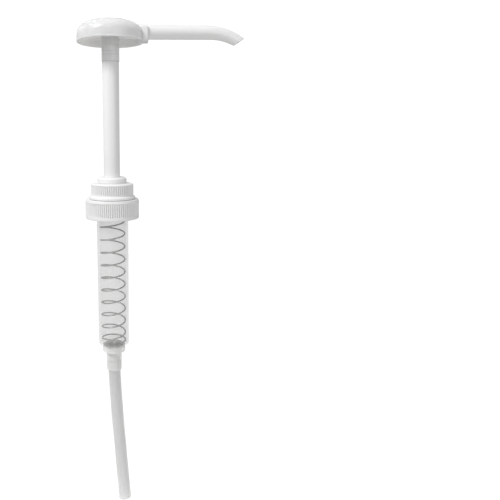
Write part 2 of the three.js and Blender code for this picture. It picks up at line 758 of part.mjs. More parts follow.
function nozzle() {
  const outside = hubBoreRadius + HUB_WALL;
  const headBottom = hubTop - HUB_HEAD_HEIGHT;
  const hub = turned([
    [0, hubBottom],
    [outside - HUB_EDGE, hubBottom],
    [outside, hubBottom + HUB_EDGE],
    [outside, headBottom - HUB_EDGE],
    [hubHeadRadius, headBottom],
    [hubHeadRadius, hubTop],
    [0, hubTop],
  ], MEDIUM_SIDES);
  const socket = turned([
    [0, hubBottom - OVERRUN],
    [hubBoreRadius, hubBottom - OVERRUN],
    [hubBoreRadius, hubCeiling],
    [CHAMBER_RADIUS, hubCeiling],
    [CHAMBER_RADIUS, spoutHeight + CHAMBER_RADIUS],
    [0, spoutHeight + CHAMBER_RADIUS],
  ], SMALL_SIDES);
  const spout = spoutBar(0, SPOUT_OVERRUN, SPOUT_SIDES);
  const bore = spoutBar(SPOUT_WALL, SPOUT_OVERRUN + OVERRUN, SMALL_SIDES);
  const body = solid(hub).add(solid(spout)).add(solid(shieldBlock()));
  return shape(body.subtract(solid(bore)).subtract(solid(socket)).subtract(solid(spoutCutter())));
}

// ---------------------------------------------------------------------------------------------
// Palm cap
// ---------------------------------------------------------------------------------------------

// Points up the dome's crown, from its shoulder to the axis, set in from the outside by `inset`.
function crown(inset) {
  const radius = DOME_RADIUS - inset;
  const rise = DOME_CROWN - inset;
  const points = [];
  for (let i = 0; i <= DOME_POINTS; i += 1) {
    const angle = (i / DOME_POINTS) * (Math.PI / 2);
    points.push([
      radius * Math.cos(angle) ** (2 / DOME_FULLNESS),
      domeShoulder + rise * Math.sin(angle) ** (2 / DOME_FULLNESS),
    ]);
  }
  points[DOME_POINTS][0] = 0;
  return points;
}

function palmCap() {
  const inside = DOME_RADIUS - DOME_WALL;
  const ceiling = domeShoulder + DOME_CROWN - DOME_WALL;
  const dome = turned([
    [0, domeRim],
    [DOME_RADIUS, domeRim],
    ...crown(0),
  ], LARGE_SIDES);
  const hollow = turned([
    [0, domeRim - OVERRUN],
    [inside, domeRim - OVERRUN],
    ...crown(DOME_WALL),
  ], LARGE_SIDES);
  const bossInner = hubHeadRadius + FIT_GAP;
  const bossBottom = hubTop - BOSS_LENGTH;
  const boss = ring(bossInner, bossInner + BOSS_WALL, bossBottom, ceiling + DOME_WALL / 2, MEDIUM_SIDES);
  let body = solid(dome).subtract(solid(hollow)).add(solid(boss));
  for (let i = 0; i < DOME_RIBS; i += 1) {
    const rib = block(
      [bossInner + BOSS_WALL / 2, -DOME_RIB_WIDTH / 2, ceiling - DOME_RIB_DEPTH],
      [DOME_RIB_REACH, DOME_RIB_WIDTH / 2, ceiling + DOME_WALL / 2],
    );
    rib.rotateZ((2 * Math.PI * (i + 0.5)) / DOME_RIBS);
    body = body.add(solid(rib).intersect(solid(dome)));
  }
  const reach = DOME_RADIUS + OVERRUN;
  const wide = BLOCK_HALF_WIDTH + FIT_GAP;
  const narrow = Math.sqrt(SPOUT_ROOT_RADIUS ** 2 - BLOCK_RISE ** 2) + FIT_GAP;
  const notch = block([0, -wide, domeRim - OVERRUN], [reach, wide, spoutHeight + BLOCK_RISE + FIT_GAP]);
  const spoutTop = spoutHeight + SPOUT_ROOT_RADIUS + FIT_GAP;
  const saddle = block([0, -narrow, spoutHeight], [reach, narrow, spoutTop]);
  return shape(body.subtract(solid(notch)).subtract(solid(saddle)));
}

// ---------------------------------------------------------------------------------------------
// Assembly
// ---------------------------------------------------------------------------------------------

add('pump_barrel', pumpBarrel(), 'clear');
add('jug_gasket', jugGasket(), 'rubber');
add('barrel_gasket', barrelGasket(), 'rubber');
add('guide_nut', guideNut(), 'whiteRibbed');
add('shaft_bushing', shaftBushing(), 'whiteRibbed');
add('stem_wiper', stemWiper(), 'rubber');
add('inlet_housing', inletHousing(), 'clear');
add('ball_cage', ballCage(), 'clear');
add('dip_tube', dipTube(), 'milky');
add('return_spring', returnSpring(), 'steel');
add('inlet_ball', ball(INLET_BALL_RADIUS, inletBallHeight), 'acetal');
add('jug_cap', jugCap(), 'whiteRibbed');
add('spring_follower', springFollower(), 'acetal');
add('pump_stem', pumpStem(), 'whiteGloss');
add('piston', piston(), 'acetal');
add('piston_seal', pistonSeal(), 'rubber');
add('outlet_seat', outletSeat(), 'acetal');
add('outlet_ball', ball(OUTLET_BALL_RADIUS, outletBallHeight), 'acetal');
add('ball_stop', ballStop(), 'acetal');
add('up_stop', upStop(), 'acetal');
add('hub_seal', hubSeal(), 'rubber');
add('nozzle', nozzle(), 'whiteGloss');
add('palm_cap', palmCap(), 'whiteGloss');

export default pump;
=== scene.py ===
from math import cos, pi, radians, sin, sqrt, tan

import bmesh
import bpy
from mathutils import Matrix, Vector


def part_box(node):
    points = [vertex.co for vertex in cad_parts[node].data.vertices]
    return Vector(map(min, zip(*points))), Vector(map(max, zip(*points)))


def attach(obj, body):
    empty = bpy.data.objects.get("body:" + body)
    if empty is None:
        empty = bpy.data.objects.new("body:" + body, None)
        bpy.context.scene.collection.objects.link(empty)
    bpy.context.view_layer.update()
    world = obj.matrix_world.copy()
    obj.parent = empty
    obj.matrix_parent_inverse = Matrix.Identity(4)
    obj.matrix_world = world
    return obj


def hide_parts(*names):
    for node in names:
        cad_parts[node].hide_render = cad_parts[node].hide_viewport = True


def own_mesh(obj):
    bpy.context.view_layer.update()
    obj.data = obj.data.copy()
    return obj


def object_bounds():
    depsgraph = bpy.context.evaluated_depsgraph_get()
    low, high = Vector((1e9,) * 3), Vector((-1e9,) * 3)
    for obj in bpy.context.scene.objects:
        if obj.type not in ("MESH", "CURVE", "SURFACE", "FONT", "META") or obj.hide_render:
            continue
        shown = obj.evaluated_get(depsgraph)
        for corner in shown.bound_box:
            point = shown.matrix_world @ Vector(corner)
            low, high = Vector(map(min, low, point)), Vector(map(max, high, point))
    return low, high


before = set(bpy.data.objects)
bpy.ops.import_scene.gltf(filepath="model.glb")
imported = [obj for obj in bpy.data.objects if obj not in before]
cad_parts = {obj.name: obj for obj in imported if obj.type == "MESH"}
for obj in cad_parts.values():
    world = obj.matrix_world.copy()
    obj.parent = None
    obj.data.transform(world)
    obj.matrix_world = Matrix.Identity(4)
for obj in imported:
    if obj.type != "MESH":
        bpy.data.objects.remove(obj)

cad_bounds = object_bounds()

# ---------------------------------------------------------------------------------------------
# Camera, floor and light: a white product on a white sweep, lit softly from the upper left,
# with the right side left to fall off so that the ribs and the turned edges show.
# ---------------------------------------------------------------------------------------------

mm = 0.001
scene = bpy.context.scene
scene.view_settings.view_transform = "Standard"

camera = bpy.data.objects.new("camera", bpy.data.cameras.new("camera"))
camera.data.lens = 35.28
camera.data.shift_x = 0.2196
camera.data.clip_start = 0.01
camera.location = (0.0221, -0.38699, 0.05341)
camera.rotation_euler = (radians(77), 0, 0)
scene.collection.objects.link(camera)
scene.camera = camera


def put(tree, kind, inputs=None, **settings):
    """Adds a node; its inputs take plain values or the sockets that they are joined to."""
    made = tree.nodes.new(kind)
    for key, value in settings.items():
        setattr(made, key, value)
    for key, value in (inputs or {}).items():
        if isinstance(value, bpy.types.NodeSocket):
            tree.links.new(value, made.inputs[key])
        else:
            made.inputs[key].default_value = value
    return made


def maths(tree, operation, *values):
    """Adds a Math node and gives its output."""
    return put(tree, "ShaderNodeMath", dict(enumerate(values)), operation=operation).outputs[0]


# The camera sees the room and the floor as plain white; the light that they give is graded.
seen_white = 1.05
world = bpy.data.worlds.new("studio")
world.use_nodes = True
world.node_tree.nodes.clear()
scene.world = world
sky = world.node_tree
direction = put(sky, "ShaderNodeSeparateXYZ", {0: put(sky, "ShaderNodeTexCoord").outputs["Generated"]})
sideways = put(sky, "ShaderNodeMapRange", {
    "Value": direction.outputs["X"], "From Min": -1.0, "From Max": 1.0, "To Min": 0.78, "To Max": 0.5,
}).outputs[0]
upwards = put(sky, "ShaderNodeMapRange", {
    "Value": direction.outputs["Z"], "From Min": 0.0, "From Max": 0.7, "To Min": 0.84, "To Max": 1.1,
}).outputs[0]
falloff = maths(sky, "MULTIPLY", sideways, upwards)
room = put(sky, "ShaderNodeBackground", {"Color": (1.0, 1.0, 1.0, 1), "Strength": falloff})
white = put(sky, "ShaderNodeBackground", {"Color": (1, 1, 1, 1), "Strength": seen_white})
seen = put(sky, "ShaderNodeLightPath").outputs["Is Camera Ray"]
mixed = put(sky, "ShaderNodeMixShader", {0: seen, 1: room.outputs[0], 2: white.outputs[0]})
put(sky, "ShaderNodeOutputWorld", {"Surface": mixed.outputs[0]})


pump_middle = Vector((0.02, 0, 0.03))


def softbox(name, place, size, power):
    """A square area light that faces the middle of the pump."""
    data = bpy.data.lights.new(name, "AREA")
    data.size = size
    data.energy = power
    data.specular_factor = 0.45
    light = bpy.data.objects.new(name, data)
    light.location = place
    light.rotation_euler = (pump_middle - Vector(place)).to_track_quat("-Z", "Y").to_euler()
    scene.collection.objects.link(light)


softbox("key_light", (-0.55, -0.45, 0.75), size=0.22, power=6.0)
softbox("fill_light", (0.5, -0.75, 0.1), size=0.6, power=1.1)

floor_mesh = bpy.data.meshes.new("floor")
floor_half = 4.0
floor_clearance = 0.025
floor_height = cad_bounds[0][2] - floor_clearance
floor_mesh.from_pydata(
    [(x * floor_half, y * floor_half, floor_height) for x, y in ((-1, -1), (1, -1), (1, 1), (-1, 1))],
    [], [(0, 1, 2, 3)],
)
floor = bpy.data.objects.new("floor", floor_mesh)
scene.collection.objects.link(floor)
sweep = bpy.data.materials.new("sweep")
sweep.use_nodes = True
sweep.node_tree.nodes.clear()
spread = put(sweep.node_tree, "ShaderNodeVectorMath", {
    0: put(sweep.node_tree, "ShaderNodeTexCoord").outputs["Object"],
}, operation="LENGTH").outputs["Value"]
pool = put(sweep.node_tree, "ShaderNodeMapRange", {
    "Value": spread, "From Min": 0.2, "From Max": 0.7, "To Min": 1.1, "To Max": 0.3,
}, interpolation_type="SMOOTHSTEP").outputs[0]
lit = put(sweep.node_tree, "ShaderNodeEmission", {"Color": (1.0, 0.998, 0.99, 1), "Strength": pool})
blank = put(sweep.node_tree, "ShaderNodeEmission", {"Color": (1, 1, 1, 1), "Strength": seen_white})
seen = put(sweep.node_tree, "ShaderNodeLightPath").outputs["Is Camera Ray"]
mixed = put(sweep.node_tree, "ShaderNodeMixShader", {0: seen, 1: lit.outputs[0], 2: blank.outputs[0]})
put(sweep.node_tree, "ShaderNodeOutputMaterial", {"Surface": mixed.outputs[0]})
floor_mesh.materials.append(sweep)

# ---------------------------------------------------------------------------------------------
# Palm cap: the glossy domed button that the palm presses. Injection-moulded white polypropylene
# with a bead round its open rim, a boss that grips the hub's head, and six ribs under the crown.
# ---------------------------------------------------------------------------------------------


def extent(node):
    """A node's lowest and highest point and its reach along -Y, in millimetres."""
    low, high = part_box(node)
    return low.z / mm, high.z / mm, -low.y / mm


def filleted(outline, steps=5):
    """Rounds each corner (radius, height, fillet) of a closed outline with an arc."""
    points = []
    for i, corner in enumerate(outline):
        here = Vector(corner[:2])
        if len(corner) == 2:
            points.append(here)
            continue
        before = Vector(outline[i - 1][:2]) - here
        after = Vector(outline[(i + 1) % len(outline)][:2]) - here
        half = before.angle(after) / 2
        run = min(corner[2] / tan(half), 0.45 * before.length, 0.45 * after.length)
        radius = run * tan(half)
        start = here + before.normalized() * run
        end = here + after.normalized() * run
        centre = here + (before.normalized() + after.normalized()).normalized() * radius / sin(half)
        sweep_angle = pi - 2 * half
        for k in range(steps + 1):
            share = k / steps
            first = (start - centre) * sin((1 - share) * sweep_angle)
            arm = first + (end - centre) * sin(share * sweep_angle)
            points.append(centre + arm / sin(sweep_angle))
    return points


def finish_mesh(name, work, sharp=35):
    """Makes an object of a bmesh, with its faces outwards and its seams closed."""
    bmesh.ops.remove_doubles(work, verts=work.verts, dist=1e-7)
    if work.calc_volume(signed=True) < 0:
        bmesh.ops.reverse_faces(work, faces=work.faces)
    mesh = bpy.data.meshes.new(name)
    work.to_mesh(mesh)
    work.free()
    mesh.shade_smooth()
    mesh.set_sharp_from_angle(angle=radians(sharp))
    piece = bpy.data.objects.new(name, mesh)
    scene.collection.objects.link(piece)
    return piece


def turned(name, outline, sides=128, sharp=35):
    """Revolves a closed outline, in millimetres, round the pump's axis."""
    points = filleted(outline)
    work = bmesh.new()
    columns = []
    for j in range(sides):
        angle = 2 * pi * j / sides
        columns.append([
            work.verts.new((p.x * cos(angle) * mm, p.x * sin(angle) * mm, p.y * mm)) for p in points
        ])
    for j, column in enumerate(columns):
        after = columns[(j + 1) % sides]
        for i, point in enumerate(points):
            k = (i + 1) % len(points)
            if max(point.x, points[k].x) > 1e-6:
                work.faces.new((column[i], after[i], after[k], column[k]))
    return finish_mesh(name, work, sharp)


def boxed(name, low, high, bevel=0.0):
    """A block between two corners in millimetres, with its edges rounded if asked."""
    work = bmesh.new()
    bmesh.ops.create_cube(work, size=1)
    for vert in work.verts:
        vert.co = [(lo + hi) / 2 * mm + c * (hi - lo) * mm for c, lo, hi in zip(vert.co, low, high)]
    if bevel:
        bmesh.ops.bevel(work, geom=work.edges[:], offset=bevel * mm, segments=5, profile=0.5, affect="EDGES")
    return finish_mesh(name, work)


def settle(piece):
    """Turns an object's modifiers into its plain mesh."""
    bpy.context.view_layer.update()
    depsgraph = bpy.context.evaluated_depsgraph_get()
    mesh = bpy.data.meshes.new_from_object(piece.evaluated_get(depsgraph))
    piece.modifiers.clear()
    piece.data = mesh


def carve(piece, tool, operation="DIFFERENCE", sharp=35):
    """Cuts a tool out of a piece, or joins it on, and discards the tool."""
    step = piece.modifiers.new("carve", "BOOLEAN")
    step.object = tool
    step.operation = operation
    step.solver = "EXACT"
    settle(piece)
    bpy.data.objects.remove(tool)
    piece.data.shade_smooth()
    piece.data.set_sharp_from_angle(angle=radians(sharp))


def socket(tree, name, side, kind="NodeSocketFloat"):
    """Adds a named input or output to a node group."""
    tree.interface.new_socket(name=name, in_out=side, socket_type=kind)


# Moulded skin: faint orange peel, slow colour variation from the flow of the melt, and fine
# upright handling marks.
skin = bpy.data.node_groups.new("moulded skin", "ShaderNodeTree")
socket(skin, "Colour", "INPUT", "NodeSocketColor")
socket(skin, "Shade", "INPUT", "NodeSocketColor")
socket(skin, "Roughness", "INPUT")
socket(skin, "Grain", "INPUT")
socket(skin, "Marks", "INPUT")
socket(skin, "Colour", "OUTPUT", "NodeSocketColor")
socket(skin, "Roughness", "OUTPUT")
socket(skin, "Height", "OUTPUT")
given = put(skin, "NodeGroupInput").outputs
place = put(skin, "ShaderNodeTexCoord").outputs["Object"]
peel = put(skin, "ShaderNodeTexNoise", {"Vector": place, "Scale": given["Grain"], "Detail": 3.0}).outputs[0]
flow = put(skin, "ShaderNodeTexNoise", {"Vector": place, "Scale": 60.0, "Detail": 2.0}).outputs[0]
drawn = put(skin, "ShaderNodeMapping", {"Vector": place, "Scale": (1.0, 1.0, 0.06)}).outputs[0]
rubs = put(skin, "ShaderNodeTexNoise", {"Vector": drawn, "Scale": 1500.0, "Detail": 2.0}).outputs[0]
rubs = put(skin, "ShaderNodeMapRange", {"Value": rubs, "From Min": 0.6, "From Max": 0.75}).outputs[0]
rubs = maths(skin, "MULTIPLY", rubs, given["Marks"])
tinted = put(skin, "ShaderNodeMix", {0: flow, 6: given["Colour"], 7: given["Shade"]}, data_type="RGBA")
swing = maths(skin, "MULTIPLY", maths(skin, "SUBTRACT", peel, 0.5), 0.1)
rough = maths(skin, "ADD", maths(skin, "ADD", given["Roughness"], swing), maths(skin, "MULTIPLY", rubs, 0.2))
height = maths(skin, "SUBTRACT", peel, maths(skin, "MULTIPLY", rubs, 0.4))
put(skin, "NodeGroupOutput", {"Colour": tinted.outputs[2], "Roughness": rough, "Height": height})


def moulded(name, colour, shade, roughness, grain=700.0, marks=0.5, relief=0.02, **plain):
    """A plastic with the moulded skin; plain values go on the shader's own sockets."""
    look = bpy.data.materials.new(name)
    look.use_nodes = True
    tree = look.node_tree
    tree.nodes.clear()
    grained = put(tree, "ShaderNodeGroup", node_tree=skin)
    for key, value in (("Colour", (*colour, 1)), ("Shade", (*shade, 1)), ("Roughness", roughness),
                       ("Grain", grain), ("Marks", marks)):
        grained.inputs[key].default_value = value
    bump = put(tree, "ShaderNodeBump", {
        "Strength": 0.35, "Distance": relief * mm, "Height": grained.outputs["Height"],
    })
    shader = put(tree, "ShaderNodeBsdfPrincipled", {
        "Base Color": grained.outputs["Colour"], "Roughness": grained.outputs["Roughness"],
        "Normal": bump.outputs[0],
    })
    for key, value in plain.items():
        shader.inputs[key.replace("_", " ")].default_value = value
    put(tree, "ShaderNodeOutputMaterial", {"Surface": shader.outputs[0]})
    return look


gloss = moulded("gloss polypropylene", (0.84, 0.84, 0.84), (0.81, 0.81, 0.805), 0.17,
                marks=0.6, Coat_Weight=0.35, Coat_Roughness=0.06)
glow = moulded("thin gloss polypropylene", (0.83, 0.83, 0.825), (0.8, 0.8, 0.79), 0.17,
               marks=0.6, Coat_Weight=0.35, Coat_Roughness=0.06,
               Subsurface_Weight=0.9, Subsurface_Radius=(1.0, 0.98, 0.94), Subsurface_Scale=0.009)

fit_gap = 0.1  # between pieces that are pressed together
overcut = 1  # how far a cutter runs past what it cuts
cap_wall = 1.7
cap_skirt = 3.7
cap_fullness = 2.6
rim_bead = 0.2
rim_bead_height = 1.2
cap_rim, cap_top, cap_radius = extent("palm_cap")
cap_shoulder = cap_rim + cap_skirt
cap_rise = cap_top - cap_shoulder


def crown_height(radius, inset):
    """Height of the crown's surface, set in from the outside, at a distance from the axis."""
    share = (radius / (cap_radius - inset)) ** cap_fullness
    return cap_shoulder + (cap_rise - inset) * (1 - share) ** (1 / cap_fullness)


def crown(inset, steps=44):
    """The crown's profile from its shoulder to the axis."""
    points = []
    for k in range(1, steps):
        radius = cos(k / steps * pi / 2) ** (2 / cap_fullness) * (cap_radius - inset)
        points.append((radius, crown_height(radius, inset)))
    return points + [(0.0, cap_shoulder + cap_rise - inset)]


skirt_radius = cap_radius - rim_bead
button = turned("palm_button", [
    (cap_radius - cap_wall, cap_rim, 0.4),
    (cap_radius, cap_rim, 0.5),
    (cap_radius, cap_rim + rim_bead_height, 0.15),
    (skirt_radius, cap_rim + rim_bead_height + rim_bead, 0.1),
    (skirt_radius, cap_shoulder),
    *crown(rim_bead),
    *reversed(crown(cap_wall)),
    (cap_radius - cap_wall, cap_shoulder),
], sides=160)

hub_top = extent("nozzle")[1]
hub_head_radius = 8.0
boss_inner = hub_head_radius + fit_gap
boss_wall = 1.5
boss_depth = 6.5
boss_foot = hub_top - boss_depth
boss = turned("boss", [
    (boss_inner, boss_foot, 0.3),
    (boss_inner + boss_wall, boss_foot, 0.3),
    (boss_inner + boss_wall, crown_height(boss_inner + boss_wall, cap_wall / 2)),
    (boss_inner, crown_height(boss_inner, cap_wall / 2)),
], sides=96)
carve(button, boss, "UNION")

rib_count = 6
rib_half = 0.6
rib_inner = boss_inner + boss_wall / 2
rib_outer = 17.4
rib_hang = 2.2
rib_foot = cap_top - cap_wall - rib_hang
for i in range(rib_count):
    angle = 2 * pi * (i + 0.5) / rib_count
    along = Vector((cos(angle), sin(angle), 0))
    across = Vector((-sin(angle), cos(angle), 0))
    work = bmesh.new()
    sides = []
    for side in (-rib_half, rib_half):
        corners = [(rib_inner, rib_foot), (rib_outer, rib_foot),
                   (rib_outer, crown_height(rib_outer, cap_wall / 2)),
                   (rib_inner, crown_height(rib_inner, cap_wall / 2))]
        sides.append([
            work.verts.new((along * r + across * side + Vector((0, 0, z))) * mm) for r, z in corners
        ])
    work.faces.new(sides[0])
    work.faces.new(list(reversed(sides[1])))
    for k in range(4):
        n = (k + 1) % 4
        work.faces.new((sides[0][n], sides[0][k], sides[1][k], sides[1][n]))
    carve(button, finish_mesh("rib", work), "UNION")

block_half = 6.8
block_step = 2.5
block_top = hub_top - block_step
notch_half = block_half + fit_gap
saddle_half = 4.2
saddle_top = hub_top - 0.4
carve(button, boxed("notch", (0, -notch_half, cap_rim - overcut),
                    (cap_radius + overcut, notch_half, block_top + fit_gap)))
carve(button, boxed("saddle", (0, -saddle_half, block_top - overcut),
                    (cap_radius + overcut, saddle_half, saddle_top)))
button.data.materials.clear()
button.data.materials.append(glow)
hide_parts("palm_cap")
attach(button, "plunger")

# ---------------------------------------------------------------------------------------------
# Nozzle: hub, shield block and long bent spout in one white moulding. The hub is pushed on the
# stem's narrow top, and the block fills the notch in the palm cap's skirt.
# ---------------------------------------------------------------------------------------------

hub_foot = extent("nozzle")[0]
hub_radius = 6.6
hub_head_height = 8
hub_head_foot = hub_top - hub_head_height
hub_head_cone = 0.9
hub_bore = 5.5
socket_depth = 15.3
hub_ceiling = hub_foot + socket_depth
spout_rise = 20.8
spout_height = hub_foot + spout_rise
ring_marks = (4.8, 6.9, 11.6)
ring_depth = 0.32
ring_half = 0.35
hub_outline = [(0, hub_foot), (hub_radius, hub_foot, 0.5)]
for mark in ring_marks:
    hub_outline += [
        (hub_radius, hub_foot + mark - ring_half, 0.1),
        (hub_radius - ring_depth, hub_foot + mark, 0.1),
        (hub_radius, hub_foot + mark + ring_half, 0.1),
    ]
hub_outline += [
    (hub_radius, hub_head_foot - hub_head_cone, 0.4),
    (hub_head_radius, hub_head_foot, 0.4),
    (hub_head_radius, hub_top, 0.4),
    (0, hub_top),
]
nozzle = turned("nozzle_moulding", hub_outline, sides=96)

spout_root, spout_knee, spout_tip = 5.2, 4.75, 4.05
spout_wall = 1.3
straight_length, straight_fall = 73, 0.65
elbow_reach, elbow_fall = 84.5, 0.16
tip_reach, tip_fall = 94.9, 7.1
cut_angle = radians(57.5)
knee = Vector((straight_length, 0, spout_height - straight_fall))
elbow = Vector((elbow_reach, 0, knee.z - elbow_fall))
tip = Vector((tip_reach, 0, spout_height - tip_fall))
cut = Vector((cos(cut_angle), 0, -sin(cut_angle)))
block_near = 20.5
block_far = 28.1
fillet_reach = 1.6
fillet_rise = 0.9
straight_steps = 34
bend_steps = 24


def swept(name, rings, closed, sharp=35):
    """Skins a row of rings, given in millimetres; a closed row joins its last ring to its first."""
    work = bmesh.new()
    rows = [[work.verts.new(point * mm) for point in ring] for ring in rings]
    count = len(rows[0])
    for i in range(len(rows) if closed else len(rows) - 1):
        here, after = rows[i], rows[(i + 1) % len(rows)]
        for j in range(count):
            k = (j + 1) % count
            work.faces.new((here[j], here[k], after[k], after[j]))
    if not closed:
        work.faces.new(list(reversed(rows[0])))
        work.faces.new(rows[-1])
    return finish_mesh(name, work, sharp)


def spout_stations():
    """Centre, direction and outside radius along the spout, from the pump's axis to the tip."""
    start = Vector((0, 0, spout_height))
    stations = []
    straight = (knee - start).normalized()
    for k in range(straight_steps):
        centre = start.lerp(knee, k / straight_steps)
        radius = spout_root + (spout_knee - spout_root) * k / straight_steps
        past_block = centre.x - block_far
        if 0 <= past_block < fillet_reach:
            radius += fillet_rise * (1 - sqrt(1 - (1 - past_block / fillet_reach) ** 2))
        stations.append((centre, straight, radius))
    for k in range(bend_steps + 1):
        share = k / bend_steps
        centre = knee.lerp(elbow, share).lerp(elbow.lerp(tip, share), share)
        along = (elbow - knee).lerp(tip - elbow, share).normalized()
        stations.append((centre, along, spout_knee + (spout_tip - spout_knee) * share))
    return stations


def spout_ring(centre, along, radius, tilt, count=64):
    """A ring round the spout; its plane leans from square (0) to the cut face (1)."""
    side = Vector((0, 1, 0))
    up = along.cross(side)
    face = along.lerp(cut, tilt).normalized()
    ring = []
    for j in range(count):
        angle = 2 * pi * j / count
        point = side * cos(angle) * radius + up * sin(angle) * radius
        ring.append(centre + point - along * point.dot(face) / along.dot(face))
    return ring


stations = spout_stations()
lean_steps = 14
lean_from = len(stations) - lean_steps


def lean(k):
    """How far the ring at a station leans towards the cut face."""
    return max(0, k - lean_from) / (len(stations) - 1 - lean_from)


rings = []
for k, (centre, along, radius) in enumerate(stations[:-1]):
    rings.append(spout_ring(centre, along, radius, lean(k)))
end_centre, end_along, end_radius = stations[-1]
lip = 0.3
lip_steps = 4
for k in range(lip_steps + 1):
    turn = k / lip_steps * pi / 2
    back = end_along * lip * (1 - sin(turn))
    rings.append(spout_ring(end_centre - back, end_along, end_radius - lip * (1 - cos(turn)), 1))
for k in range(lip_steps + 1):
    turn = k / lip_steps * pi / 2
    back = end_along * lip * (1 - cos(turn))
    inner = end_radius - spout_wall + lip * (1 - sin(turn))
    rings.append(spout_ring(end_centre - back, end_along, inner, 1))
for k, (centre, along, radius) in reversed(list(enumerate(stations[:-1]))):
    rings.append(spout_ring(centre, along, radius - spout_wall, lean(k)))
carve(nozzle, swept("spout", rings, closed=True), "UNION")

block_drop = 7.1
block_bevel = 1.2
block = boxed("shield_block", (block_near, -block_half, spout_height - block_drop),
              (block_far, block_half, block_top), bevel=block_bevel)
carve(nozzle, block, "UNION")
mouth_flare, flare_depth = 0.3, 0.4
riser_radius = 3.6
socket_tool = turned("socket", [
    (0, hub_foot - overcut),
    (hub_bore + mouth_flare, hub_foot - overcut),
    (hub_bore + mouth_flare, hub_foot),
    (hub_bore, hub_foot + flare_depth),
    (hub_bore, hub_ceiling),
    (riser_radius, hub_ceiling),
    (riser_radius, spout_height + riser_radius),
    (0, spout_height + riser_radius),
], sides=72)
carve(nozzle, socket_tool)
channel_radius = 3.82
channel_end = 32
channel = []
for x in (0, channel_end):
    middle = Vector((x, 0, spout_height - straight_fall * x / straight_length))
    channel.append(spout_ring(middle, Vector((1, 0, 0)), channel_radius, 0, 48))
carve(nozzle, swept("channel", channel, closed=False))
nozzle.data.materials.clear()
nozzle.data.materials.append(gloss)
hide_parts("nozzle")
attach(nozzle, "plunger")

# ---------------------------------------------------------------------------------------------
# Stem: a straight extruded tube of white polypropylene, turned down at its top to take the hub.
# It slides and turns in the shaft bushing.
# ---------------------------------------------------------------------------------------------

stem_foot, stem_top, stem_radius = extent("pump_stem")
stem_bore = 4.4
spigot_radius = 5.4
stem_shoulder = hub_foot - fit_gap
stem = turned("stem_tube", [
    (stem_bore, stem_foot, 0.2),
    (stem_radius, stem_foot, 0.3),
    (stem_radius, stem_shoulder, 0.3),
    (spigot_radius, stem_shoulder, 0.2),
    (spigot_radius, stem_top, 0.3),
    (stem_bore, stem_top, 0.2),
], sides=96)
satin_white = moulded("satin polypropylene", (0.87, 0.87, 0.87), (0.84, 0.84, 0.835), 0.3, marks=1.0)
stem.data.materials.append(satin_white)
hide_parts("pump_stem")
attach(stem, "plunger")

# ---------------------------------------------------------------------------------------------
# Shaft bushing: the chamfered collar on top of the guide nut that the stem runs in. A white
# moulding, pressed into the nut's plate by the sleeve below its flange.
# ---------------------------------------------------------------------------------------------

bushing_foot, bushing_top, bushing_radius = extent("shaft_bushing")
nut_foot, nut_top, nut_flange_radius = extent("guide_nut")
sleeve_radius = 8.4
run_gap = 0.2  # between the stem and what it slides in
bushing_chamfer = 1.3
bushing = turned("bushing_ring", [
    (stem_radius + run_gap, bushing_foot, 0.3),
    (sleeve_radius, bushing_foot, 0.3),
    (sleeve_radius, nut_top + fit_gap, 0.1),
    (bushing_radius, nut_top + fit_gap, 0.25),
    (bushing_radius, bushing_top - bushing_chamfer, 0.5),
    (bushing_radius - bushing_chamfer, bushing_top, 0.5),
    (stem_radius + run_gap, bushing_top, 0.4),
], sides=112)
ribbed_white = moulded("ribbed polypropylene", (0.86, 0.86, 0.86), (0.83, 0.83, 0.825), 0.36, grain=900.0)
bushing.data.materials.append(ribbed_white)
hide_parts("shaft_bushing")
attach(bushing, "pump_body")

# ---------------------------------------------------------------------------------------------
# Guide nut: the small ribbed nut that screws down over the barrel's neck and traps the jug cap.
# A white moulding with fine grip ribs above a plain flange.
# ---------------------------------------------------------------------------------------------


groove_shape = 1.5  # above 1, narrow grooves between wide ribs
outer_share = 0.96  # of the radius, past which a wall is the outer one


